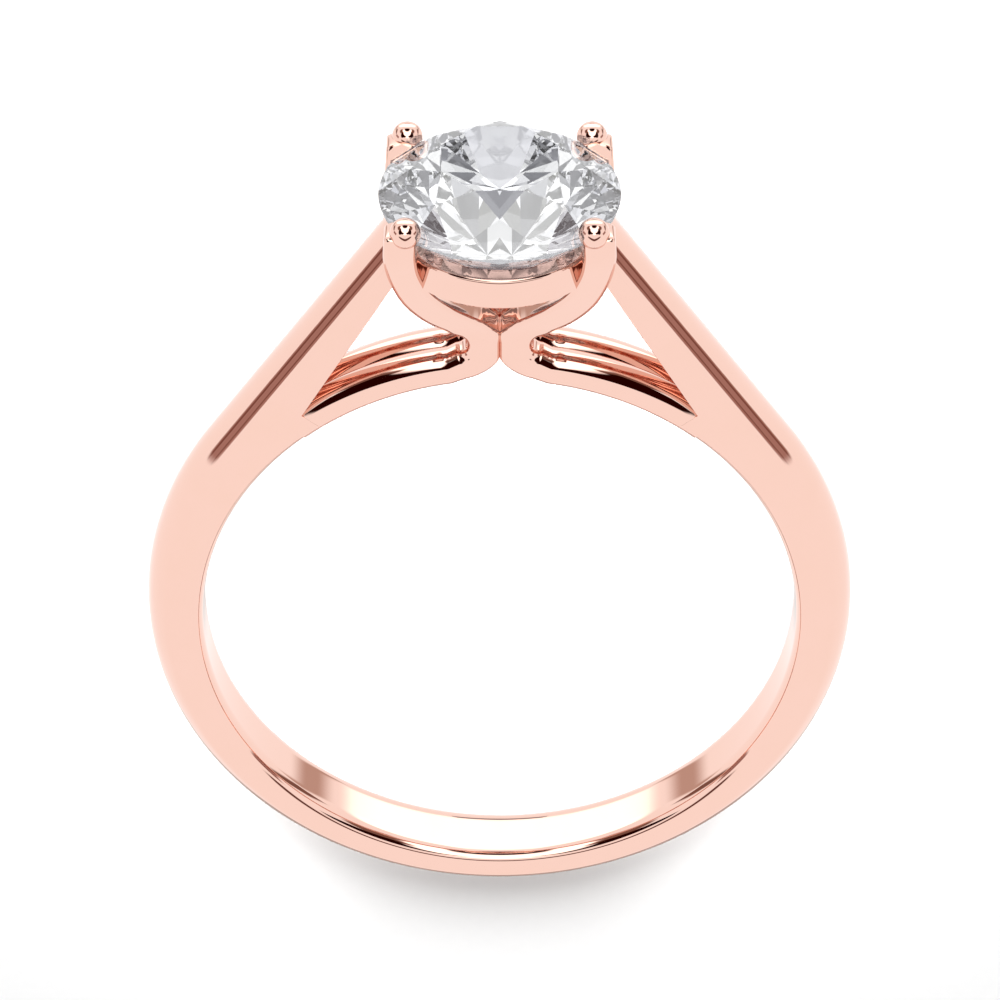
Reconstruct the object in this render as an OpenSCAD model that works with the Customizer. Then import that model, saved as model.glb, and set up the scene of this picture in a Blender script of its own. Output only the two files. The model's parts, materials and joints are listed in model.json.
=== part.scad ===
// Solitaire engagement ring: a cast mount with a round brilliant, lying on its side as it rests on a table.
// The ring is drawn flat, with the finger hole along Z and the stone towards +Y, and is then tipped onto
// the girdle of the stone and the foot of the shank. Heights on the head are counted from the top of the
// finger hole, and the left half is mirrored to the right.

/* [Shank] */
// Radius of the finger hole, 8.25 for US size 6
bore_r = 8.25; // [7.5:0.05:10]
// Width of the band along the finger
band_w = 2.0; // [1.8:0.05:2.4]
// Height of the band's flat side at the foot of the ring
side_h = 0.74; // [0.5:0.02:1.2]
// How far the outer circle of the shank is moved towards the head
shank_shift = 0.26; // [0.1:0.02:0.5]
// Rise of the domed outside above the flat sides
dome_h = 0.54; // [0.3:0.02:0.8]
// Rounding of both rims of the finger hole
rim_r = 0.25; // [0.1:0.05:0.35]

/* [Shoulders] */
// Half the distance between the shoulders' outer edges where they reach the head
shoulder_x = 3.27; // [3.1:0.01:3.5]
// Height of those points
shoulder_h = 3.41; // [3.2:0.01:3.7]
// Half the distance between the windows' top corners
window_x = 2.90; // [2.7:0.01:3.0]
// Height of the windows' top corners
window_h = 3.09; // [2.9:0.01:3.2]
// Angle from the top at which a window begins
window_a = 36.8; // [34:0.1:40]
// Height at which the shoulders end under the girdle
shoulder_end_h = 4.75; // [4.5:0.05:4.9]

/* [Rails and prongs] */
// Height of the flat side of a rail
rail_h = 0.60; // [0.5:0.02:0.7]
// Rise of the rail's rounded back above its flat side
rail_rise = 0.29; // [0.2:0.01:0.35]
// Height at which the prongs begin to lean away from the band
lean_h = 1.45; // [1.3:0.05:1.6]
// Outward lean of the prongs for each millimetre of height
lean_rate = 0.45; // [0.40:0.01:0.50]
// Radius of the ball tips
tip_r = 0.44; // [0.38:0.01:0.5]
// Height of the balls' centres
tip_h = 5.82; // [5.75:0.01:5.9]
// Distance of the balls' centres from the two middle planes: across the finger, and along it
tip_at = [2.44, 2.38];

/* [Seat ring] */
// Outer radius of the seat ring
seat_r = 2.80; // [2.7:0.01:2.9]
// Radial thickness of the seat ring
seat_t = 0.80; // [0.6:0.05:0.9]
// Height of the underside of the seat ring
seat_h = 3.69; // [3.5:0.01:3.8]
// Height of its outer wall
seat_wall = 0.80; // [0.7:0.01:0.9]

/* [Stone] */
// Diameter of the stone
stone_d = 6.45; // [6.3:0.01:6.6]
// Height of the lower edge of the girdle
girdle_h = 5.42; // [5.35:0.01:5.5]
// Thickness of the girdle where it is widest
girdle_t = 0.16; // [0.1:0.01:0.2]
// Width of the table as a share of the diameter
table_share = 0.52; // [0.49:0.01:0.58]
// Slope of the bezel facets
crown_a = 33.8; // [32:0.1:36]
// Slope of the pavilion facets
pavilion_a = 40.8; // [40:0.1:41.5]
// Share of the way from the table edge to the girdle that a star facet takes
star_share = 0.5; // [0.4:0.05:0.6]
// Share of the way from the girdle to the culet that a lower girdle facet takes
lower_share = 0.77; // [0.7:0.01:0.82]
// Turn of the stone about its axis, 22.5 for an edge of the table along the finger hole's faces
stone_turn = 22.5; // [0:0.5:45]
// Gap between the stone and the metal
stone_gap = 0.03; // [0.02:0.01:0.05]

/* [Hidden] */
$fn = 96;

half_w = band_w / 2;
stone_r = stone_d / 2;

// The shank's outer circle, and the foot of the ring.
shank_r = bore_r + side_h + shank_shift;
dome_r = (half_w * half_w + dome_h * dome_h) / (2 * dome_h);
foot_y = bore_r + side_h;

// Each shoulder leaves the shank's circle on its tangent to the point at the head.
shoulder_p = [-shoulder_x, bore_r + shoulder_h];
from_shank = shoulder_p - [0, shank_shift];
split_a = atan2(from_shank.y, from_shank.x) + acos(shank_r / norm(from_shank));
shoulder_n = [cos(split_a), sin(split_a)];
shoulder_d = [sin(split_a), -cos(split_a)];
shoulder_from = [0, shank_shift] + shank_r * shoulder_n;
shoulder_l = norm(from_shank);
window_foot = (bore_r + rail_h + 0.1) * [-sin(window_a), cos(window_a)];
window_top = [-window_x, bore_r + window_h];
window_d = (window_top - window_foot) / norm(window_top - window_foot);
inside_bore = bore_r - 0.5;

// The ribbon of one wire on the front face, after the rail. Columns: x and height of its edge towards the
// middle, x and height of its edge towards the window, and the share of the rail's section that is left.
RIBBON = [
    [1.02, -0.08, 1.18, 0.57, 1.0],
    [0.42, 0.25, 0.90, 0.80, 0.8],
    [0.05, 0.80, 0.79, 1.05, 0.6],
    [-0.03, 1.33, 0.81, 1.30, 0.4],
    [0.24, 1.86, 1.12, 1.55, 0.2],
    [0.66, 2.27, 1.38, 1.66, 0.1],
    [1.33, 2.83, 2.00, 2.12, 0.0],
    [1.80, 3.43, 2.57, 2.92, 0.0],
    [2.10, 4.18, 2.93, 3.95, 0.0],
    [2.20, 4.90, 3.07, 4.85, 0.0],
    [2.20, 5.60, 3.08, 5.60, 0.0]
];
// Each rail starts inside the shoulder and hands over to the ribbon at the second of these angles.
rail_from_a = window_a + 1.7;
rail_to_a = 10.5;
rail_steps = 4;
smooth_steps = 2;
// The shoulders start this far inside the shank, and their section is this much smaller all round.
joint_in = 0.05;
joint_step = 0.01;
// Overlap of the wires at the two middle planes, where they are cast together.
kiss = 0.03;
// Height over which the lean sets in.
lean_ease = 0.4;
wire_depth = half_w + kiss;
corner_steps = 3;
// Corner radii of the rail and of the prong, as [across, along the finger], in the order front middle,
// front window side, back window side, back middle.
RAIL_CORNERS = [[0.03, 0.03], [rail_rise, half_w / 2], [rail_rise, half_w / 2], [0.03, 0.03]];
PRONG_CORNERS = [[0.16, 0.16], [0.16, 0.16], [0.38, 0.38], [0.38, 0.38]];

// Levels of the stone.
girdle_y = bore_r + girdle_h;
girdle_top_y = girdle_y + girdle_t;
table_r = stone_r * table_share;
crown_h = (stone_r - table_r) * tan(crown_a);
table_y = girdle_top_y + crown_h;
pavilion_h = stone_r * tan(pavilion_a);
// How far short of the girdle the bezels and mains come to their points.
point_in = 0.03;
// Slope of the room for the stone, a little steeper than any facet at the girdle.
room_slope = 0.9;

// The ring tips until the girdle and the edge of the foot both touch the table.
lie_a = atan2(stone_r - half_w, girdle_y + foot_y);
lift = stone_r * cos(lie_a) - girdle_y * sin(lie_a);
table_reach = table_r * cos(min(stone_turn, 45 - stone_turn));
back_y = table_y * cos(lie_a) + table_reach * sin(lie_a);
front_y = (foot_y + dome_h - dome_r) * cos(lie_a) + dome_r;

function height(h) = bore_r + h;
function mix(a, b, t) = a + (b - a) * t;

// Catmull-Rom curve through the rows of a table.
function curve_row(rows, i, t) =
    let (
        last = len(rows) - 1,
        a = rows[max(i - 1, 0)],
        b = rows[i],
        c = rows[min(i + 1, last)],
        d = rows[min(i + 2, last)]
    )
    (2 * b + (c - a) * t + (2 * a - 5 * b + 4 * c - d) * t * t + (3 * b - a - 3 * c + d) * t * t * t) / 2;

// Distance that a prong stands proud of the band's face at a level.
function lean(y) =
    let (t = y - height(lean_h))
    lean_rate * (t <= 0 ? 0 : t < lean_ease ? t * t / (2 * lean_ease) : t - lean_ease / 2);

// One ring of points round a wire, from a row with the columns of RIBBON.
function wire_ring(row) =
    let (
        middle = [row[0], row[1]],
        across = [row[2], row[3]] - middle,
        w = norm(across) + rail_rise * row[4],
        dir = across / norm(across),
        corners = [for (k = [0:3]) mix(PRONG_CORNERS[k], RAIL_CORNERS[k], row[4])],
        centres = [
            [corners[0].x, corners[0].y],
            [w - corners[1].x, corners[1].y],
            [w - corners[2].x, wire_depth - corners[2].y],
            [corners[3].x, wire_depth - corners[3].y]
        ]
    )
    [
        for (k = [0:3], s = [0:corner_steps])
            let (
                a = 180 + 90 * k + 90 * s / corner_steps,
                p = centres[k].x + corners[k].x * cos(a),
                q = centres[k].y + corners[k].y * sin(a),
                at = middle + dir * p
            )
            [at.x, at.y, half_w + lean(at.y) - q]
    ];

// Section of the band: flat sides and a domed outside, from a depth below the flat edge.
module band_section(depth, less = 0) {
    w = half_w - less;
    intersection() {
        union() {
            translate([-depth, -w]) square([depth, 2 * w]);
            translate([dome_h - dome_r, 0]) circle(r = dome_r - less);
        }
        translate([-depth, -w]) square([depth + dome_h, 2 * w]);
    }
}

module shank() {
    translate([0, shank_shift, 0])
        rotate([0, 0, split_a])
            rotate_extrude(angle = 540 - 2 * split_a)
                translate([shank_r, 0]) band_section(shank_r - inside_bore);
}

// Straight domed arm from the shank to the head, cut along the window and level under the girdle.
module shoulder() {
    below = shank_r - inside_bore;
    from = shoulder_from - shoulder_d * joint_in;
    intersection() {
        translate([from.x, from.y, 0])
            rotate([90, 0, split_a])
                linear_extrude(height = shoulder_l) band_section(below, joint_step);
        linear_extrude(height = band_w, center = true)
            polygon([
                from + shoulder_n * 1,
                [from.x, height(shoulder_end_h)],
                [-seat_r + seat_t, height(shoulder_end_h)],
                window_top + window_d * ((height(shoulder_end_h) - window_top.y) / window_d.y),
                window_foot,
                window_foot * (inside_bore / norm(window_foot)),
                from - shoulder_n * below
            ]);
    }
}

// A rail and the prong that it turns up into: one wire with a rounded back.
module wire() {
    rail = [
        for (i = [0:rail_steps])
            let (a = mix(rail_from_a, rail_to_a, i / rail_steps), low = bore_r - 0.15, top = bore_r + rail_h)
            [low * sin(a), low * cos(a), top * sin(a), top * cos(a), 1]
    ];
    ribbon = [for (r = RIBBON) [r[0], height(r[1]), r[2], height(r[3]), r[4]]];
    rows = concat(rail, ribbon);
    spans = len(rows) - 1;
    rings = [
        for (i = [0:spans * smooth_steps])
            let (k = min(floor(i / smooth_steps), spans - 1))
            wire_ring(curve_row(rows, k, i / smooth_steps - k))
    ];
    n = len(rings[0]);
    last = (len(rings) - 1) * n;
    sides = [
        for (i = [0:len(rings) - 2], j = [0:n - 1], half = [0, 1])
            let (a = i * n + j, b = i * n + (j + 1) % n)
            half == 0 ? [b, a, a + n] : [b + n, b, a + n]
    ];
    polyhedron(
        points = [for (ring = rings, p = ring) p],
        faces = concat([[for (j = [0:n - 1]) j]], sides, [[for (j = [n - 1:-1:0]) last + j]]),
        convexity = 6
    );
}

// Ball on the end of a prong, polished flat at its top and sunk into the prong.
module ball_tip() {
    translate([tip_at.x, height(tip_h), tip_at.y])
        rotate([-90, 0, 0])
            rotate_extrude()
                intersection() {
                    circle(r = tip_r);
                    translate([0, -tip_r * 0.9]) square([tip_r, tip_r * 1.83]);
                }
}

module seat_ring() {
    top = seat_wall + 0.32;
    translate([0, height(seat_h), 0])
        rotate([-90, 0, 0])
            rotate_extrude()
                polygon([
                    [seat_r - seat_t, 0],
                    [seat_r, 0],
                    [seat_r, seat_wall],
                    [seat_r - 0.08, seat_wall + 0.16],
                    [seat_r - 0.24, top],
                    [seat_r - seat_t, top]
                ]);
}

// What the finger goes through: a true cylinder that flares at both rims.
module finger_hole() {
    for (side = [0, 1])
        mirror([0, 0, side])
            rotate_extrude()
                difference() {
                    square([bore_r + rim_r, half_w + 1]);
                    translate([bore_r, -1]) square([rim_r + 1, half_w - rim_r + 1]);
                    translate([bore_r + rim_r, half_w - rim_r]) circle(r = rim_r);
                }
}

// Room for the stone: two cones and the girdle, a little larger than the facets.
module stone_room() {
    r = stone_r + stone_gap;
    t = girdle_t + 2 * stone_gap;
    translate([0, girdle_y - stone_gap, 0])
        rotate([-90, 0, 0]) {
            translate([0, 0, -r * room_slope]) cylinder(r1 = 0, r2 = r, h = r * room_slope);
            cylinder(r = r, h = t);
            translate([0, 0, t]) cylinder(r1 = r, r2 = r / 2, h = r / 2 * room_slope);
        }
}

module ring_mount() {
    color("#EDBFAE")
        lying()
            difference() {
                union() {
                    shank();
                    seat_ring();
                    for (side = [0, 1])
                        mirror([side, 0, 0]) {
                            shoulder();
                            for (face = [0, 1])
                                mirror([0, 0, face]) {
                                    wire();
                                    ball_tip();
                                }
                        }
                }
                finger_hole();
                stone_room();
            }
}

function ring_points(n, turn, r, y) =
    [for (i = [0:n - 1]) let (a = stone_turn + turn + 360 * i / n) [r * sin(a), y, r * cos(a)]];

// Round brilliant: 8 bezels that meet the table at its corners, 8 stars, 16 upper and 16 lower girdle
// facets and 8 pavilion mains. The girdle facets run on to a sharp edge that the round girdle cuts off.
module brilliant() {
    // The points between two neighbouring bezels, and between two mains, lie midway between their middles.
    mid = 22.5;
    star_r = mix(table_r * cos(mid), stone_r, star_share);
    star_y = table_y - (star_r * cos(mid) - table_r) * tan(crown_a);
    lower_r = stone_r * (1 - lower_share);
    lower_y = girdle_y - pavilion_h + lower_r * cos(mid) * tan(pavilion_a);
    // The bezels and mains come to their points just short of the girdle.
    point_r = stone_r - point_in;
    bezel_y = girdle_top_y + point_in * tan(crown_a);
    main_y = girdle_y - point_in * tan(pavilion_a);
    // Slopes of the girdle facets, and the sharp edge in which they would meet.
    c = cos(mid / 2);
    upper_slope = (star_y - bezel_y) / (c * (point_r - star_r));
    lower_slope = (main_y - lower_y) / (c * (point_r - lower_r));
    edge_y = (bezel_y * lower_slope + main_y * upper_slope) / (upper_slope + lower_slope);
    edge_r = point_r + (bezel_y - edge_y) / (upper_slope * c);
    // Index of the first point of each ring of points.
    table = 0;
    star = 8;
    bezel = 16;
    edge = 24;
    main = 40;
    lower = 48;
    culet = 56;
    points = concat(
        ring_points(8, 0, table_r, table_y),
        ring_points(8, mid, star_r, star_y),
        ring_points(8, 0, point_r, bezel_y),
        ring_points(16, 0, edge_r, edge_y),
        ring_points(8, 0, point_r, main_y),
        ring_points(8, mid, lower_r, lower_y),
        [[0, girdle_y - pavilion_h, 0]]
    );
    facets = [
        for (i = [0:7])
            let (
                next = (i + 1) % 8,
                before = (i + 7) % 8,
                at = edge + 2 * i,
                after_at = edge + 2 * i + 1,
                before_at = edge + (2 * i + 15) % 16
            )
            each [
                [table + i, table + next, star + i],
                [table + i, star + i, bezel + i, star + before],
                [bezel + i, star + i, after_at, at],
                [bezel + i, at, before_at, star + before],
                [main + i, at, after_at, lower + i],
                [main + i, lower + before, before_at, at],
                [main + i, lower + i, culet, lower + before]
            ]
    ];
    intersection() {
        polyhedron(points = points, faces = concat([[for (i = [7:-1:0]) table + i]], facets));
        translate([0, girdle_y - stone_r, 0])
            rotate([-90, 0, 0]) cylinder(r = stone_r, h = 2 * stone_r);
    }
}

module diamond() {
    color("#E9F0F4")
        lying()
            brilliant();
}

module lying() {
    translate([0, (front_y - back_y) / 2, lift]) rotate([lie_a, 0, 0]) children();
}

ring_mount();
diamond();
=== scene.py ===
"""Solitaire engagement ring lying on its side: a polished rose gold mount and a round brilliant diamond.

The ring is modelled in millimetres as a jeweller draws it, with the finger hole along Z, the stone towards
+Y and the face that is seen towards +Z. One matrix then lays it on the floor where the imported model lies.
"""
import json
import math
from collections import Counter

import bmesh
import bpy
from mathutils import Matrix, Vector


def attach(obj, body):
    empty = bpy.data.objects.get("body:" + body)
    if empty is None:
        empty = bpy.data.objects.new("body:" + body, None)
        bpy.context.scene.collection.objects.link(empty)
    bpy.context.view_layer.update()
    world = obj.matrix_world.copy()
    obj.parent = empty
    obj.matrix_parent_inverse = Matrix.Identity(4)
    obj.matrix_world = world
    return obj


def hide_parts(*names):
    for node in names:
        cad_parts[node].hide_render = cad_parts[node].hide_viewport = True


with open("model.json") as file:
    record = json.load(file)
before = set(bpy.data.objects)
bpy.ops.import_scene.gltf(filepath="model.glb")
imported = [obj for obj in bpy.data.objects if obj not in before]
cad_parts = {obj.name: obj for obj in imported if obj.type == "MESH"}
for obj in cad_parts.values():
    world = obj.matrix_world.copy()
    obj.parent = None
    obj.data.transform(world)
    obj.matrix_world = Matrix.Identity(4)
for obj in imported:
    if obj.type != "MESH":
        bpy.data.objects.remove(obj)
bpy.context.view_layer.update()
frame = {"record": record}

# Camera. It looks down at the ring through a long lens from 165 mm away, turned 36 degrees from the axis of
# the finger hole towards the stone's side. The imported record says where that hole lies, and all else follows
# from it.
MM = 0.001
finger_hole = frame["record"]["mounts"][0]
hole_at = Vector(finger_hole["pos_m"])
hole_axis = Vector(finger_hole["axis"])
tip_over = math.atan2(-hole_axis.y, hole_axis.z)
rest_pose = Matrix.Translation(hole_at) @ Matrix.Rotation(tip_over, 4, "X")
view_angle = math.radians(36.41)
view_distance = 165.25 * MM
aim_height = 3.632 * MM
# The column of the photograph that the ring's middle lies on, a little left of the picture's own middle.
photo_width = 1000
middle_column = 499.65

camera_data = bpy.data.cameras.new("camera")
camera_data.sensor_width = 36
camera_data.lens = 215.75
camera_data.shift_x = 0.5 - middle_column / photo_width
camera_data.clip_start = 0.01
camera_data.clip_end = 10
camera = bpy.data.objects.new("camera", camera_data)
camera.matrix_world = (
    rest_pose
    @ Matrix.Translation((0, aim_height, 0))
    @ Matrix.Rotation(-view_angle, 4, "X")
    @ Matrix.Translation((0, 0, view_distance))
)
bpy.context.scene.collection.objects.link(camera)
bpy.context.scene.camera = camera

# Mount, band. The shank is a half-round wire that is flat on both sides and thickens towards the head. At
# half past ten and half past one it runs off the circle into two straight shoulders, cast in one with it.
bore_r = finger_hole["dims"]["r_mm"]
# Its section: half the width, the height of the dome, the thickness at the foot of the shank, how far the
# outer circle is moved towards the head, and how far the finger hole's rim is rounded outwards and inwards.
half_w = 1.0
dome_h = 0.54
dome_r = (half_w**2 + dome_h**2) / (2 * dome_h)
foot_h = 0.74
shank_shift = 0.26
shank_r = bore_r + foot_h + shank_shift
rim_in = 0.25
rim_deep = 0.45
# The edge between flat and dome is broken this wide, over this many degrees of the dome's arc. The flat's
# first point lies flat_start times the rounded rim from the hole.
edge_r = 0.04
edge_turn = 2
flat_start = 1.3
# The shoulder's outer edge runs to the first point, and the window's side between the other two.
shoulder_top = Vector((3.27, bore_r + 3.41))
shoulder_end_y = bore_r + 4.75
window_angle = math.radians(36.8)
window_foot = (bore_r + 0.70) * Vector((math.sin(window_angle), math.cos(window_angle)))
window_top = Vector((2.90, bore_r + 3.09))
rim_end = 0.02
shoulder_run = 7.4
shank_steps = 90
rim_steps = 6
shoulder_steps = 24
dome_steps = 12
round_steps = 12
fine_weld = 1e-6


def mix(a, b, t):
    return a + (b - a) * t


def arc(centre, radius, start, end, steps):
    """Points on a circle, from one angle in degrees to another."""
    angles = [math.radians(mix(start, end, i / steps)) for i in range(steps + 1)]
    return [Vector((centre[0] + radius * math.cos(a), centre[1] + radius * math.sin(a))) for a in angles]


def skin(shell, sections):
    """Wraps a grid of faces round a row of closed sections, and closes its seam and both its ends."""
    around = len(sections[0])
    grid = bmesh.ops.create_grid(shell, x_segments=around, y_segments=len(sections) - 1, size=1)["verts"]
    for i, vert in enumerate(grid):
        row, column = divmod(i, around + 1)
        vert.co = sections[row][column % around]
    bmesh.ops.remove_doubles(shell, verts=grid, dist=fine_weld)
    bmesh.ops.holes_fill(shell, edges=[e for e in shell.edges if e.is_boundary], sides=0)


def band_section(outer, out, depth, rim, rim_back):
    """Section of the band at one place, from the middle of its inner side round the crest and back.

    It starts depth inwards of the point outer, against the direction out. Rim and rim_back are how far the
    rounding between inner side and flat reaches along each of them.
    """
    crease = math.degrees(math.asin(half_w / dome_r))
    rounding = arc((0, 0), 1, 180, 90, round_steps)
    side = [Vector((-depth, half_w * share)) for share in (0, 0.25, 0.5)]
    side += [Vector((rim * (1 + p.x) - depth, half_w + rim_back * (p.y - 1))) for p in rounding]
    side += [Vector((u, half_w)) for u in (rim * flat_start - depth, -2 * edge_r, -edge_r)]
    side += arc((dome_h - dome_r, 0), dome_r, crease - edge_turn, 0, dome_steps)
    both = side + [Vector((p.x, -p.y)) for p in side[-2:0:-1]]
    return [Vector((outer.x + out.x * p.x, outer.y + out.y * p.x, p.y)) for p in both]


run = shoulder_top - Vector((0, shank_shift))
leave_angle = math.atan2(run.y, run.x) - math.acos(shank_r / run.length)
leave_out = Vector((math.cos(leave_angle), math.sin(leave_angle)))
leave_along = Vector((-leave_out.y, leave_out.x))
leave_point = Vector((0, shank_shift)) + shank_r * leave_out


def bore_depth(outer, out):
    """Distance from the band's outer edge straight in to the finger hole."""
    along = Vector((-out.y, out.x)).dot(outer)
    return outer.dot(out) - math.sqrt(bore_r**2 - along**2)


half_band = []
for i in range(shank_steps + 1):
    a = mix(-math.pi / 2, leave_angle, i / shank_steps)
    out = Vector((math.cos(a), math.sin(a)))
    outer = Vector((0, shank_shift)) + shank_r * out
    half_band.append(band_section(outer, out, bore_depth(outer, out), rim_in, rim_deep))
window_along = (window_top - window_foot).normalized()
window_start = (window_foot - leave_point).dot(leave_along)
for i in range(1, rim_steps + 1):
    outer = leave_point + leave_along * window_start * i / rim_steps
    half_band.append(band_section(outer, leave_out, bore_depth(outer, leave_out), rim_in, rim_deep))
for i in range(shoulder_steps + 1):
    along = mix(window_start + rim_end, window_start + shoulder_run, i / shoulder_steps)
    outer = leave_point + leave_along * along
    # The window's side runs a little flatter than the shoulder's edge, so the flat narrows towards the head.
    to_foot = window_foot - outer
    turn = window_along.x * leave_out.y - window_along.y * leave_out.x
    depth = -(window_along.x * to_foot.y - window_along.y * to_foot.x) / turn
    half_band.append(band_section(outer, leave_out, abs(depth), edge_r, edge_r))
band = bmesh.new()
other_half = [[Vector((-p.x, p.y, p.z)) for p in section] for section in half_band[:0:-1]]
skin(band, other_half + half_band)
whole_band = band.verts[:] + band.edges[:] + band.faces[:]
bmesh.ops.bisect_plane(
    band, geom=whole_band, plane_co=(0, shoulder_end_y, 0), plane_no=(0, 1, 0), clear_outer=True
)
bmesh.ops.holes_fill(band, edges=[e for e in band.edges if e.is_boundary], sides=0)

# Mount, rails and prongs. Under each window the band splits into two thin half-round rails, side by side,
# that meet the other pair in the middle, turn up there and lean out as the four prongs.
rail_h = 0.60
rail_rise = 0.29
rail_r = ((half_w / 2) ** 2 + rail_rise**2) / (2 * rail_rise)
overlap = 0.03
sunk = 0.004
turn_centre = Vector((1.25, 9.33))
turn_inner_r = 0.46
lean_y = bore_r + 1.45
lean_rate = 0.45
lean_ease = 0.4
prong_front_r = 0.16
prong_back_r = 0.14
# How far the wire reaches out from the middle of its turn. Columns: angle, distance.
TURN_REACH = [
    (249, 1.08), (230, 1.13), (215, 1.20), (204, 1.265), (197, 1.295), (190, 1.279), (180, 1.26), (170, 1.28),
    (157, 1.37), (142, 1.28), (116, 1.33),
]
# A prong's edge towards the middle and its edge towards the window, from the turn to the ball.
# Columns: x and height of the first, x and height of the second.
PRONG_EDGES = [
    (0.66, 2.27, 1.33, 1.61),
    (1.33, 2.83, 2.00, 2.12),
    (1.80, 3.43, 2.57, 2.92),
    (2.10, 4.18, 2.93, 3.95),
    (2.20, 4.90, 3.07, 4.85),
    (2.20, 5.40, 3.06, 5.40),
    (2.19, 5.66, 3.04, 5.66),
]
prong_end_h = 0.20
end_thick = 0.80
rounding_h = 4.60
# A rail starts inside the band and ends where its turn starts. Both are degrees from the stone's side.
rail_start = 39.5
rail_end = 9
rail_steps = 24
turn_steps = 6
prong_steps = 8
end_steps = 10
end_step_angle = 7.8
# The rail's section has become the prong's when this share of the turn's angle is done.
reshaped = 1 / 1.2
# Where points lie on the front and on the back of a section, as shares of its width. A rounded edge takes no
# more of the width than roundest.
front_shares = (0.05, 0.4, 0.9)
back_shares = (0.45, 0.5, 0.55)
roundest = 0.49
inner_steps = 9


def spline(rows, steps):
    """Rows of a table with smooth steps between them (Catmull-Rom)."""
    rows = [Vector(r) for r in rows]
    ends = [2 * rows[0] - rows[1], *rows, 2 * rows[-1] - rows[-2]]
    fine = []
    for a, b, c, d in zip(ends, ends[1:], ends[2:], ends[3:]):
        for k in range(steps):
            t = k / steps
            bend = (2 * a - 5 * b + 4 * c - d) * t**2
            fine.append((2 * b + (c - a) * t + bend + (3 * b - a - 3 * c + d) * t**3) / 2)
    return fine + [rows[-1]]


def lean(y):
    """How far a prong's front stands proud of the band's face at a height."""
    t = y - lean_y
    if t <= 0:
        return 0
    return lean_rate * (t * t / (2 * lean_ease) if t < lean_ease else t - lean_ease / 2)


def wire_section(inner, window, share, thick=1, cap=1):
    """Section of one wire: a half-round rail where share is 1, a prong with rounded edges where it is 0.

    Inner and window are the two sides of its front face. Both shapes have the same count of points, from the
    front face round by the window's side, the back and the inner side, so that one mixes into the other.
    Thick and cap are shares of the full thickness, and the back stays where it is.
    """
    across = window - inner
    w = across.length
    across.normalize()
    back = half_w + overlap
    crease = math.degrees(math.asin(half_w / 2 / rail_r))
    rail = [Vector((mix(rim_in, w, t), 0)) for t in front_shares]
    rail += arc((w + rail_rise - rail_r, half_w / 2), rail_r, -crease, crease, 16)
    rail += [Vector((w, back)), Vector((w / 2, back)), Vector((0, back))]
    rail += [Vector((0, mix(back, rim_in, i / inner_steps))) for i in range(1, inner_steps)]
    rail += arc((rim_in, rim_in), rim_in, 180, 270, 8)
    front_r = min(prong_front_r, roundest * w)
    back_r = min(prong_back_r, roundest * w)
    prong = [Vector((mix(front_r, w - front_r, t), 0)) for t in front_shares]
    prong += arc((w - front_r, front_r), front_r, -90, 0, 7)
    prong += arc((w - back_r, back - back_r), back_r, 0, 90, 8)
    prong += [Vector((mix(w, 0, t), back)) for t in back_shares]
    prong += arc((back_r, back - back_r), back_r, 90, 180, 7)
    prong += arc((front_r, front_r), front_r, 180, 270, 8)
    points = []
    for p, r in zip(prong, rail):
        at = mix(p, r, share)
        xy = inner + across * at.x
        deep = mix(back, at.y, thick * cap)
        points.append(Vector((xy.x, xy.y, half_w - sunk + lean(xy.y) - deep)))
    return points


wire_sections = []
for i in range(rail_steps + 1):
    a = math.radians(mix(rail_start, rail_end, i / rail_steps))
    up = Vector((math.sin(a), math.cos(a)))
    wire_sections.append(wire_section(bore_r * up, (bore_r + rail_h) * up, 1))
turn_start, turn_end = TURN_REACH[0][0], TURN_REACH[-1][0]
for angle, reach in spline(TURN_REACH, turn_steps):
    a = math.radians(angle)
    out = Vector((math.cos(a), math.sin(a)))
    share = max(0, 1 - (turn_start - angle) / (turn_start - turn_end) / reshaped)
    wire_sections.append(wire_section(turn_centre + out * reach, turn_centre + out * turn_inner_r, share))
end_x1, end_h, end_x2, _ = PRONG_EDGES[-1]
for row in spline([(x1, bore_r + h1, x2, bore_r + h2) for x1, h1, x2, h2 in PRONG_EDGES], prong_steps):
    rounding = min(max((row[1] - bore_r - rounding_h) / (end_h - rounding_h), 0), 1) ** 2
    wire_sections.append(wire_section(Vector(row[:2]), Vector(row[2:]), 0, mix(1, end_thick, rounding)))
for i in range(1, end_steps + 1):
    a = math.radians(end_step_angle * i)
    middle = Vector(((end_x1 + end_x2) / 2, bore_r + end_h + prong_end_h * math.sin(a)))
    half = Vector(((end_x2 - end_x1) / 2 * math.cos(a), 0))
    wire_sections.append(wire_section(middle - half, middle + half, 0, end_thick, math.cos(a)))
wires = bmesh.new()
skin(wires, wire_sections)
bmesh.ops.recalc_face_normals(wires, faces=wires.faces)
for axis in ("X", "Z"):
    bmesh.ops.mirror(wires, geom=wires.verts[:] + wires.edges[:] + wires.faces[:], axis=axis, merge_dist=-1)

# Mount, ball tips. The end of each prong, in the same rose gold, is cut round with a cup bur to a bead, which
# is pushed down over the stone's edge.
tip_at = Vector((2.48, bore_r + 5.79, 2.33))
tip_r = 0.42
tips = bmesh.new()
pole_up = Matrix.Rotation(math.pi / 2, 4, "X")
for side in (-1, 1):
    for face in (-1, 1):
        tip_place = Matrix.Translation((side * tip_at.x, tip_at.y, face * tip_at.z)) @ pole_up
        bmesh.ops.create_uvsphere(tips, u_segments=64, v_segments=32, radius=tip_r, matrix=tip_place)

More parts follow.
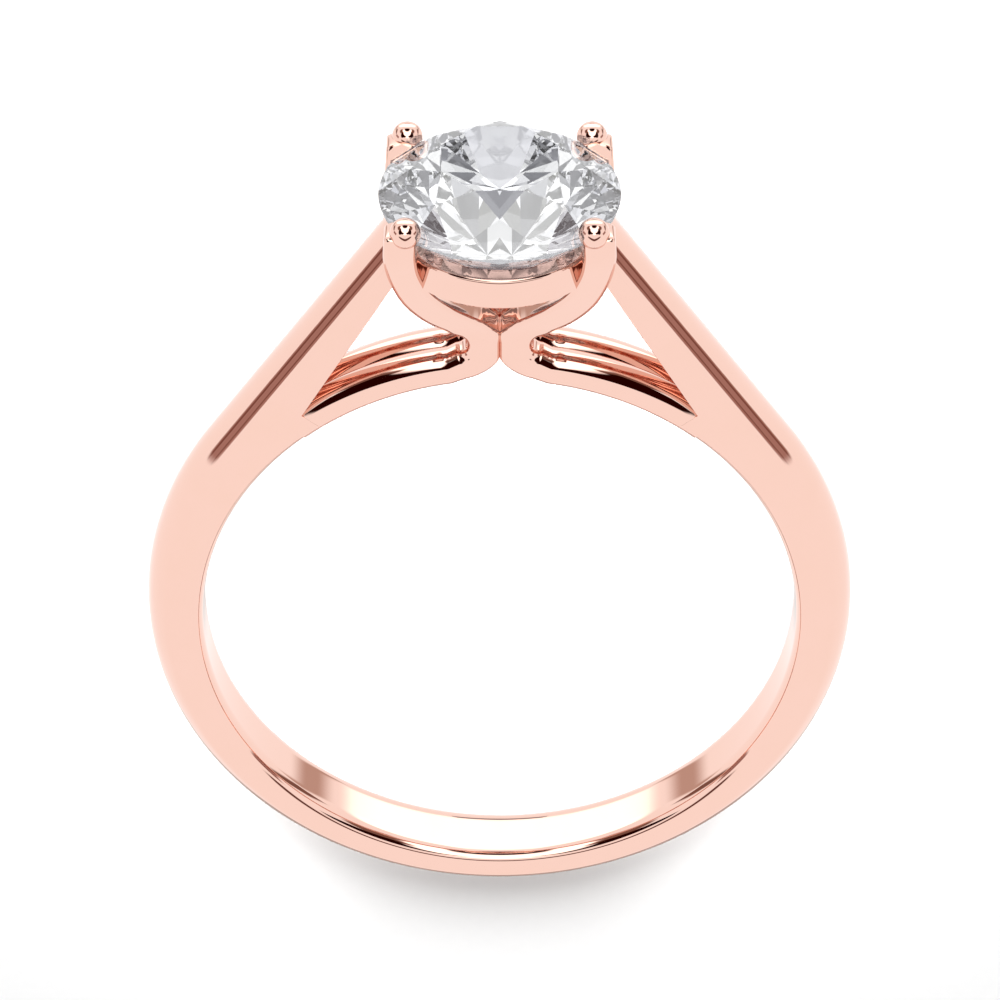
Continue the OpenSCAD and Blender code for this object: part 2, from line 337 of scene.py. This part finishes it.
# Mount, seat ring. A short ring of sheet inside the prongs, turned to a slope at its top that carries the
# stone's pavilion.
seat_r = 2.80
seat_t = 0.80
seat_y = bore_r + 3.69
seat_wall = 0.80
chamfer = 0.05
lip_r = 0.13
lip_turn = 73
ledge_in = 0.37
ledge_rise = 0.205
slope_drop = 0.1
seat = bmesh.new()
wall_top = seat_y + seat_wall
seat_in = seat_r - seat_t
profile = [(seat_in, seat_y), (seat_r - chamfer, seat_y), (seat_r, seat_y + chamfer)]
profile += arc((seat_r - lip_r, wall_top), lip_r, 0, lip_turn, 8)
profile += [(seat_r - ledge_in, wall_top + ledge_rise), (seat_in, wall_top - slope_drop)]
ring = [seat.verts.new((r, y, 0)) for r, y in profile]
edges = [seat.edges.new((a, b)) for a, b in zip(ring, ring[1:] + ring[:1])]
bmesh.ops.spin(
    seat, geom=ring + edges, cent=(0, 0, 0), axis=(0, 1, 0), angle=2 * math.pi, steps=128, use_merge=True
)
weld = 1e-5
bmesh.ops.remove_doubles(seat, verts=seat.verts, dist=weld)

# Mount, finish. One casting in 14 carat rose gold, lapped flat on both sides and polished to a mirror with
# felt and rouge. Copper gives it its pink.


def linear(code):
    """The linear values of an sRGB hex colour."""
    parts = [int(code[i : i + 2], 16) / 255 for i in (1, 3, 5)]
    return (*[c / 12.92 if c <= 0.04045 else ((c + 0.055) / 1.055) ** 2.4 for c in parts], 1)


def add(tree, kind, settings=None, links=None):
    """Adds a node with its settings and the links into it. A socket is given by its name or its number."""
    node = tree.nodes.new(kind)
    for name, value in (settings or {}).items():
        if isinstance(name, int) or name in node.inputs:
            node.inputs[name].default_value = value
        else:
            setattr(node, name, value)
    for name, source in (links or {}).items():
        tree.links.new(source, node.inputs[name])
    return node


rose_gold = bpy.data.materials.new("polished_rose_gold")
rose_gold.use_nodes = True
tree = rose_gold.node_tree
tree.nodes.clear()
PER_MM = 1000
# The numbers of a Mix node's two colour inputs and of its colour output.
MIX_A, MIX_B, MIX_RESULT = 6, 7, 2
place = add(tree, "ShaderNodeTexCoord").outputs["Object"]
# The felt wheel leaves soft patches a millimetre wide, and hair lines that run round the finger. The real
# lines are too fine to show, so they are drawn 14 to the millimetre.
patches = add(tree, "ShaderNodeTexNoise", {"Scale": 0.9 * PER_MM, "Detail": 3.0}, {"Vector": place})
stretched = add(tree, "ShaderNodeMapping", {"Scale": (0.4, 0.4, 14)}, {"Vector": place})
hair_lines = add(
    tree, "ShaderNodeTexNoise", {"Scale": 1.0 * PER_MM, "Detail": 4.0},
    {"Vector": stretched.outputs["Vector"]},
)
tone = add(
    tree, "ShaderNodeMix", {"data_type": "RGBA", MIX_A: linear("#e7c1b2"), MIX_B: linear("#e9c3b6")},
    {0: patches.outputs["Fac"]},
)
polish = add(
    tree, "ShaderNodeMapRange", {"To Min": 0.015, "To Max": 0.045}, {"Value": hair_lines.outputs["Fac"]}
)
ripple = add(
    tree, "ShaderNodeBump", {"Strength": 1.0, "Distance": 0.0002 * MM},
    {"Height": hair_lines.outputs["Fac"]},
)
shader = add(
    tree, "ShaderNodeBsdfPrincipled", {"Metallic": 1.0},
    {"Base Color": tone.outputs[MIX_RESULT], "Roughness": polish.outputs[0], "Normal": ripple.outputs[0]},
)
add(tree, "ShaderNodeOutputMaterial", links={"Surface": shader.outputs["BSDF"]})

# Stone. A one carat round brilliant diamond, cut the way a cutter does it: a round blank, then the table, the
# mains, the girdle facets and the stars are each ground off as one plane. The prongs clamp it at its girdle.
# Crown and pavilion angles, and the table, stars and lower girdle facets as shares, are an ideal cut's.
stone_r = 3.225
girdle_y = bore_r + 5.42
girdle_t = 0.16
table_r = stone_r * 0.52
crown_slope = math.tan(math.radians(33.8))
pavilion_slope = math.tan(math.radians(40.8))
star_share = 0.5
lower_share = 0.77
point_in = 0.03
half_step = math.radians(22.5)
on_plane = 1e-7
girdle_top_y = girdle_y + girdle_t
table_y = girdle_top_y + (stone_r - table_r) * crown_slope
culet_y = girdle_y - stone_r * pavilion_slope

blank = bmesh.new()
bmesh.ops.create_cone(
    blank, cap_ends=True, segments=192, radius1=stone_r, radius2=stone_r, depth=8,
    matrix=Matrix.Translation((0, girdle_y, 0)) @ Matrix.Rotation(math.pi / 2, 4, "X"),
)


def on_stone(r, y, azimuth):
    """The point at a radius and a height in the direction azimuth, which starts from the ring's face."""
    return Vector((r * math.sin(azimuth), y, r * math.cos(azimuth)))


def grind(a, b, c):
    """Grinds the stone flat through three points and closes it with the new facet."""
    normal = (b - a).cross(c - a).normalized()
    if normal.dot(a - Vector((0, girdle_y, 0))) < 0:
        normal.negate()
    whole_stone = blank.verts[:] + blank.edges[:] + blank.faces[:]
    cut = bmesh.ops.bisect_plane(
        blank, geom=whole_stone, dist=on_plane, plane_co=a, plane_no=normal, clear_outer=True
    )
    edges = [e for e in cut["geom_cut"] if isinstance(e, bmesh.types.BMEdge)]
    if edges:
        bmesh.ops.edgeloop_fill(blank, edges=edges)


star_r = mix(table_r * math.cos(half_step), stone_r, star_share)
star_y = table_y - (star_r * math.cos(half_step) - table_r) * crown_slope
lower_r = stone_r * (1 - lower_share)
lower_y = culet_y + lower_r * math.cos(half_step) * pavilion_slope
point_r = stone_r - point_in
bezel_y = girdle_top_y + point_in * crown_slope
main_y = girdle_y - point_in * pavilion_slope
upper_slope = (star_y - bezel_y) / (math.cos(half_step / 2) * (point_r - star_r))
lower_slope = (main_y - lower_y) / (math.cos(half_step / 2) * (point_r - lower_r))
edge_y = (bezel_y * lower_slope + main_y * upper_slope) / (upper_slope + lower_slope)
wide_r = point_r + (bezel_y - edge_y) / (upper_slope * math.cos(half_step / 2))
grind(on_stone(1, table_y, 0), on_stone(1, table_y, 1), on_stone(1, table_y, 2))
for k in range(8):
    main = (2 * k + 1) * half_step
    across = Vector((math.cos(main), 0, -math.sin(main)))
    bezel_top = on_stone(table_r, table_y, main)
    culet = on_stone(0, culet_y, main)
    grind(bezel_top, on_stone(stone_r, girdle_top_y, main), bezel_top + across)
    grind(culet, on_stone(stone_r, girdle_y, main), culet + across)
for k in range(8):
    main = (2 * k + 1) * half_step
    for side in (-1, 1):
        star = main + side * half_step
        wide = on_stone(wide_r, edge_y, star)
        grind(on_stone(star_r, star_y, star), on_stone(point_r, bezel_y, main), wide)
        grind(on_stone(lower_r, lower_y, star), on_stone(point_r, main_y, main), wide)
for k in range(8):
    star = 2 * k * half_step
    left, right = (on_stone(table_r, table_y, star + side * half_step) for side in (-1, 1))
    grind(on_stone(star_r, star_y, star), left, right)
bmesh.ops.dissolve_degenerate(blank, dist=fine_weld, edges=blank.edges)
bmesh.ops.recalc_face_normals(blank, faces=blank.faces)

diamond_glass = bpy.data.materials.new("cut_diamond")
diamond_glass.use_nodes = True
tree = diamond_glass.node_tree
tree.nodes.clear()
place = add(tree, "ShaderNodeTexCoord").outputs["Object"]
# The crystal is a little less clear in places. The wheel leaves lines on it that are too fine to show, so
# they are drawn 20 to the millimetre.
clouds = add(tree, "ShaderNodeTexNoise", {"Scale": 0.8 * PER_MM, "Detail": 2.0}, {"Vector": place})
clarity = add(
    tree, "ShaderNodeMix", {"data_type": "RGBA", MIX_A: linear("#fdfdff"), MIX_B: linear("#f7f9fd")},
    {0: clouds.outputs["Fac"]},
)
stretched = add(tree, "ShaderNodeMapping", {"Scale": (1, 20, 1)}, {"Vector": place})
wheel_lines = add(
    tree, "ShaderNodeTexNoise", {"Scale": 1.0 * PER_MM, "Detail": 2.0},
    {"Vector": stretched.outputs["Vector"]},
)
facet_polish = add(
    tree, "ShaderNodeMapRange", {"To Min": 0.0, "To Max": 0.004}, {"Value": wheel_lines.outputs["Fac"]}
)
DIAMOND_IOR = 2.417
shader = add(
    tree, "ShaderNodeBsdfPrincipled", {"Transmission Weight": 1.0, "IOR": DIAMOND_IOR},
    {"Base Color": clarity.outputs[MIX_RESULT], "Roughness": facet_polish.outputs[0]},
)
add(tree, "ShaderNodeOutputMaterial", links={"Surface": shader.outputs["BSDF"]})

# The girdle isn't faceted but bruted, ground with another diamond, and is waxy white. Its grain, finer still,
# is drawn 25 to the millimetre.
bruted = bpy.data.materials.new("bruted_diamond")
bruted.use_nodes = True
tree = bruted.node_tree
tree.nodes.clear()
place = add(tree, "ShaderNodeTexCoord").outputs["Object"]
grain = add(tree, "ShaderNodeTexNoise", {"Scale": 25 * PER_MM, "Detail": 3.0}, {"Vector": place})
frost = add(tree, "ShaderNodeMapRange", {"To Min": 0.2, "To Max": 0.5}, {"Value": grain.outputs["Fac"]})
pits = add(
    tree, "ShaderNodeBump", {"Strength": 0.4, "Distance": 0.005 * MM}, {"Height": grain.outputs["Fac"]}
)
shader = add(
    tree, "ShaderNodeBsdfPrincipled",
    {"Transmission Weight": 1.0, "IOR": DIAMOND_IOR, "Base Color": linear("#f4f6fa")},
    {"Roughness": frost.outputs[0], "Normal": pits.outputs["Normal"]},
)
add(tree, "ShaderNodeOutputMaterial", links={"Surface": shader.outputs["BSDF"]})
upright_below = 0.1
for face in blank.faces:
    face.material_index = int(abs(face.normal.y) < upright_below)
laid_down = rest_pose @ Matrix.Scale(MM, 4)
stone_mesh = bpy.data.meshes.new("diamond_stone")
blank.to_mesh(stone_mesh)
stone_mesh.transform(laid_down)
stone_mesh.materials.append(diamond_glass)
stone_mesh.materials.append(bruted)
stone = bpy.data.objects.new("diamond_stone", stone_mesh)
bpy.context.scene.collection.objects.link(stone)
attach(stone, "root")
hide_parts("diamond")

# Setting. The four parts of the casting are made one, and a bur the shape of the stone, a hair larger, cuts
# the notches in the prongs that hold the stone by its girdle.
set_gap = 0.03
sharp = math.radians(24)
shells = bmesh.new()
for shell in (band, wires, tips, seat):
    bmesh.ops.recalc_face_normals(shell, faces=shell.faces)
    part = bpy.data.meshes.new("shell")
    shell.to_mesh(part)
    shells.from_mesh(part)
    bpy.data.meshes.remove(part)
casting_mesh = bpy.data.meshes.new("casting")
shells.to_mesh(casting_mesh)
casting = bpy.data.objects.new("casting", casting_mesh)
bur_mesh = bpy.data.meshes.new("bur")
grown = Matrix.Scale(1 + set_gap / stone_r, 4)
girdle_middle = Vector((0, girdle_y, 0))
blank.transform(Matrix.Translation(girdle_middle) @ grown @ Matrix.Translation(-girdle_middle))
blank.to_mesh(bur_mesh)
bur = bpy.data.objects.new("bur", bur_mesh)
for tool in (casting, bur):
    bpy.context.scene.collection.objects.link(tool)
cut = casting.modifiers.new("notches", "BOOLEAN")
cut.operation = "DIFFERENCE"
cut.solver = "EXACT"
cut.use_self = True
cut.object = bur
mount_mesh = bpy.data.meshes.new_from_object(casting.evaluated_get(bpy.context.evaluated_depsgraph_get()))
mount_mesh.name = "mount"
for tool in (casting, bur):
    bpy.data.objects.remove(tool)
whole = bmesh.new()
whole.from_mesh(mount_mesh)
bmesh.ops.remove_doubles(whole, verts=whole.verts, dist=weld)
# Here and there the cut leaves two equal faces back to back, which enclose nothing.
copies = Counter(frozenset(face.verts) for face in whole.faces)
back_to_back = [face for face in whole.faces if copies[frozenset(face.verts)] > 1]
bmesh.ops.delete(whole, geom=back_to_back, context="FACES")
for face in whole.faces:
    face.smooth = True
for edge in whole.edges:
    edge.smooth = edge.calc_face_angle(0) < sharp
whole.transform(laid_down)
whole.to_mesh(mount_mesh)
mount_mesh.materials.append(rose_gold)
mount = bpy.data.objects.new("mount", mount_mesh)
bpy.context.scene.collection.objects.link(mount)
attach(mount, "root")
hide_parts("ring_mount")

# Stage. The ring lies on a sheet of plain white paper, matt, in a white room. White, grey and brown cards
# stand round it for the metal and the stone to mirror.
sheet_r = 1.5
floor_mesh = bpy.data.meshes.new("floor")
floor_plane = bmesh.new()
bmesh.ops.create_circle(floor_plane, cap_ends=True, segments=64, radius=sheet_r)
floor_plane.to_mesh(floor_mesh)
floor_paper = bpy.data.materials.new("white_paper")
floor_paper.use_nodes = True
tree = floor_paper.node_tree
tree.nodes.clear()
place = add(tree, "ShaderNodeTexCoord").outputs["Object"]
fibres = add(tree, "ShaderNodeTexNoise", {"Scale": 3.0 * PER_MM, "Detail": 4.0}, {"Vector": place})
pulp = add(
    tree, "ShaderNodeMix", {"data_type": "RGBA", MIX_A: linear("#f5f5f5"), MIX_B: linear("#f2f2f2")},
    {0: fibres.outputs["Fac"]},
)
tooth = add(tree, "ShaderNodeMapRange", {"To Min": 0.85, "To Max": 0.95}, {"Value": fibres.outputs["Fac"]})
nap = add(
    tree, "ShaderNodeBump", {"Strength": 0.1, "Distance": 0.01 * MM}, {"Height": fibres.outputs["Fac"]}
)
shader = add(
    tree, "ShaderNodeBsdfPrincipled",
    links={"Base Color": pulp.outputs[MIX_RESULT], "Roughness": tooth.outputs[0], "Normal": nap.outputs[0]},
)
add(tree, "ShaderNodeOutputMaterial", links={"Surface": shader.outputs["BSDF"]})
floor_mesh.materials.append(floor_paper)
floor = bpy.data.objects.new("floor", floor_mesh)
bpy.context.scene.collection.objects.link(floor)

world = bpy.data.worlds.new("studio")
bpy.context.scene.world = world
world.use_nodes = True
tree = world.node_tree
tree.nodes.clear()
# Directions are taken from the ring as it lies: azimuth from its upper face round to its lower one, the same
# on both sides, as a share of half a turn, and elevation from its foot to its stone, as a share of a turn.
direction = add(tree, "ShaderNodeTexCoord").outputs["Generated"]
as_it_lies = add(
    tree, "ShaderNodeVectorRotate", {"rotation_type": "X_AXIS", "Angle": -tip_over}, {"Vector": direction}
)
split = add(tree, "ShaderNodeSeparateXYZ", links={"Vector": as_it_lies.outputs["Vector"]})
azimuth = add(
    tree, "ShaderNodeMath", {"operation": "ARCTAN2"}, {0: split.outputs["X"], 1: split.outputs["Z"]}
)
either_side = add(tree, "ShaderNodeMath", {"operation": "ABSOLUTE"}, {0: azimuth.outputs[0]})
way_round = add(tree, "ShaderNodeMath", {"operation": "DIVIDE", 1: math.pi}, {0: either_side.outputs[0]})
elevation = add(tree, "ShaderNodeMath", {"operation": "ARCSINE"}, {0: split.outputs["Y"]})
level = add(
    tree, "ShaderNodeMapRange", {"From Min": -math.pi / 2, "From Max": 3 * math.pi / 2},
    {"Value": elevation.outputs[0]},
)
# Linear colours, brighter than 1 where a card is lit.
PAPER, SOFTBOX, BLACK = (1.2, 1.2, 1.2, 1), (2.4, 2.4, 2.3, 1), (0.02, 0.001, 0.0, 1)
BROWN, RUSSET, UMBER = (0.45, 0.27, 0.24, 1), (0.22, 0.095, 0.075, 1), (0.24, 0.13, 0.1, 1)
GREY, WARM_GREY, SLATE = (0.52, 0.47, 0.44, 1), (0.62, 0.47, 0.41, 1), (0.35, 0.35, 0.36, 1)
SEPIA = (0.16, 0.07, 0.05, 1)
# Cards and softboxes round the ring. Columns: colour, softness of the edge in degrees, lower edge and upper
# edge. An edge is a row of pairs of azimuth and elevation in degrees.
CARDS = [
    (SOFTBOX, 4, [(0, 20), (12, 24), (22, 40), (40, 50), (60, 56), (86, 60)],
     [(0, 68), (40, 68), (60, 72), (86, 76)]),
    (SOFTBOX, 11, [(132, 34), (145, 18), (152, 26), (160, 32), (168, 35), (180, 36.5)],
     [(132, 50), (150, 68), (180, 70)]),
    (WARM_GREY, 6, [(130, 4), (150, 2)], [(130, 13), (150, 11)]),
    (UMBER, 4, [(98, 10), (126, 12)], [(98, 17), (112, 24), (126, 24)]),
    (UMBER, 5, [(44, 50), (52, 42), (75, 38), (95, 41), (104, 52)],
     [(44, 52), (52, 57), (75, 57), (95, 64), (104, 54)]),
    (BROWN, 3, [(67, 1), (94, 3.5)], [(67, 14), (94, 14)]),
    (RUSSET, 3, [(86.5, 3), (90, 3.5)], [(86.5, 14), (90, 14)]),
    (RUSSET, 3, [(72, 1.5), (74, 1.5)], [(72, 14), (74, 14)]),
    (BLACK, 3, [(9, 35), (11, 30), (16, 25), (30, 23), (40, 16), (50, 20), (60, 34)],
     [(9, 37), (16, 37), (24, 38), (40, 46), (50, 51), (60, 52)]),
    (SEPIA, 4, [(0, -26), (12, -22), (30, -12), (44, -2)], [(0, -9), (12, -5), (30, 2), (44, 4)]),
    (GREY, 20, [(130, -80), (150, -90), (180, -90)], [(130, -80), (150, -50), (180, -36)]),
    (BLACK, 4, [(0, 72), (100, 73), (140, 84), (180, 84)], [(0, 110), (180, 110)]),
    (SLATE, 2, [(168, 28), (180, 27)], [(168, 34), (180, 35)]),
]
# Past each of its two ends a card's lower edge crosses over its upper edge, so that the card stops there.
end_run = 2
end_cross = 15
HALF_TURN = 180
QUARTER_TURN = 90
FULL_TURN = 360


def hang(cards, backdrop):
    """Hangs cards before a plain colour, each before those above it in the table, and returns the view."""
    paint = add(tree, "ShaderNodeRGB")
    paint.outputs[0].default_value = backdrop
    seen = paint.outputs[0]
    for colour, soft, lower, upper in cards:
        edges = []
        for points, cross in ((lower, end_cross), (upper, -end_cross)):
            if points[0][0] > 0:
                points = [(points[0][0] - end_run, points[0][1] + cross), *points]
            if points[-1][0] < HALF_TURN:
                points = [*points, (points[-1][0] + end_run, points[-1][1] + cross)]
            edge = add(tree, "ShaderNodeFloatCurve", links={"Value": way_round.outputs[0]})
            line = edge.mapping.curves[0]
            steps = [(at / HALF_TURN, (height + QUARTER_TURN) / FULL_TURN) for at, height in points]
            line.points[0].location = steps[0]
            line.points[1].location = steps[-1]
            for step in steps[1:-1]:
                line.points.new(*step)
            for point in line.points:
                point.handle_type = "VECTOR"
            edge.mapping.use_clip = False
            edge.mapping.update()
            edges.append(edge.outputs[0])
        here = level.outputs["Result"]
        above = add(tree, "ShaderNodeMath", {"operation": "SUBTRACT"}, {0: here, 1: edges[0]}).outputs[0]
        below = add(tree, "ShaderNodeMath", {"operation": "SUBTRACT"}, {0: edges[1], 1: here}).outputs[0]
        inside = add(tree, "ShaderNodeMath", {"operation": "MINIMUM"}, {0: above, 1: below})
        fade = soft / 2 / FULL_TURN
        mask = add(
            tree, "ShaderNodeMapRange",
            {"interpolation_type": "SMOOTHSTEP", "From Min": -fade, "From Max": fade},
            {"Value": inside.outputs[0]},
        )
        card = add(
            tree, "ShaderNodeMix", {"data_type": "RGBA", MIX_B: colour}, {0: mask.outputs[0], MIX_A: seen}
        )
        seen = card.outputs[MIX_RESULT]
    return seen


# What the stone sends back: a dark room with white and grey cards round the ring.
DARK_ROOM = (0.16, 0.16, 0.17, 1)
STONE_CARDS = [
    ((0.08, 0.08, 0.10, 1), 5, [(112, -40), (127, -40)], [(112, 84), (127, 84)]),
    ((0.98, 0.98, 1.00, 1), 5, [(0, -65), (170, -65)], [(0, -21), (170, -21)]),
    ((0.68, 0.69, 0.74, 1), 5, [(14, -17), (156, -17)], [(14, 1), (156, 1)]),
    ((1.6, 1.6, 1.6, 1), 5, [(40, 48), (80, 48)], [(40, 76), (80, 76)]),
    ((0.82, 0.82, 0.84, 1), 5, [(47, 8), (180, 8)], [(47, 45), (180, 45)]),
    ((0.09, 0.09, 0.12, 1), 5, [(111, -53), (159, -53)], [(111, 17), (159, 17)]),
    ((1.12, 1.12, 1.10, 1), 5, [(0, 40), (47, 40)], [(0, 65), (47, 65)]),
    ((0.02, 0.02, 0.02, 1), 5, [(162, -31), (179, -31)], [(162, 30), (179, 30)]),
    ((0.02, 0.02, 0.02, 1), 5, [(43, 57), (170, 57)], [(43, 63), (170, 63)]),
]
# The camera and the paper see a plain white sky, the metal sees its cards, and rays that leave the stone see
# the stone's.
sky_light = 0.29
sky_seen = 1.2
path = add(tree, "ShaderNodeLightPath")
round_metal = add(tree, "ShaderNodeBackground", {"Strength": 1.0}, {"Color": hang(CARDS, PAPER)})
round_stone = add(tree, "ShaderNodeBackground", {"Strength": 1.0}, {"Color": hang(STONE_CARDS, DARK_ROOM)})
mirrored = add(
    tree, "ShaderNodeMixShader",
    links={0: path.outputs["Is Transmission Ray"], 1: round_metal.outputs[0], 2: round_stone.outputs[0]},
)
brightness = add(
    tree, "ShaderNodeMapRange", {"To Min": sky_light, "To Max": sky_seen},
    {"Value": path.outputs["Is Camera Ray"]},
)
sky = add(tree, "ShaderNodeBackground", {"Color": (1, 1, 1, 1)}, {"Strength": brightness.outputs[0]})
plain = add(
    tree, "ShaderNodeMath", {"operation": "MAXIMUM"},
    {0: path.outputs["Is Camera Ray"], 1: path.outputs["Is Diffuse Ray"]},
)
room = add(
    tree, "ShaderNodeMixShader", links={0: plain.outputs[0], 1: mirrored.outputs[0], 2: sky.outputs[0]}
)
add(tree, "ShaderNodeOutputWorld", links={"Surface": room.outputs[0]})
# Metal and stone don't mirror the paper, and the metal doesn't show through the stone.
floor.visible_glossy = False
floor.visible_transmission = False
mount.visible_transmission = False


def lamp(name, kind, power, place, target, size, spread=0):
    """A lamp that lights the paper and isn't mirrored in metal or stone.

    Power is in watts, place and target are in mm from the middle of the finger hole, size is in mm, and
    spread, of a spot, in degrees.
    """
    data = bpy.data.lights.new(name, kind)
    data.energy = power
    if kind == "AREA":
        data.shape = "DISK"
        data.size = size * MM
    else:
        data.shadow_soft_size = size * MM
        data.spot_size = math.radians(spread)
        data.spot_blend = 1.0
    lamp_object = bpy.data.objects.new(name, data)
    start = hole_at + Vector(place) * MM
    aim = hole_at + Vector(target) * MM - start
    lamp_object.matrix_world = Matrix.Translation(start) @ aim.to_track_quat("-Z", "Y").to_matrix().to_4x4()
    lamp_object.visible_glossy = False
    lamp_object.visible_transmission = False
    bpy.context.scene.collection.objects.link(lamp_object)


# The key, low and broad beyond the head, throws the soft shadow at the foot. The fill and the three snoots
# keep the paper white inside the ring, in the windows under the shoulders and beside the shank.
lamp("key", "AREA", 0.38, (0, 118, 80), (0, -9, 0), 100)
lamp("fill", "SPOT", 0.36, (0, 5, 90), (0, 5, 0), 10, 22)
lamp("snoot", "SPOT", 1.3, (0, 84.5, 142), (0, 10.5, 1), 3, 6)
lamp("left_snoot", "SPOT", 0.9, (0, 84.5, 142), (-8.4, -4.6, -1), 3, 4.6)
lamp("right_snoot", "SPOT", 0.9, (0, 84.5, 142), (8.4, -4.6, -1), 3, 4.6)
bpy.context.scene.view_settings.view_transform = "Standard"
# A cut stone throws a ray to and fro inside it many times before it lets it out.
stone_bounces = 24
bpy.context.scene.cycles.max_bounces = stone_bounces
bpy.context.scene.cycles.glossy_bounces = stone_bounces
bpy.context.scene.cycles.transmission_bounces = stone_bounces
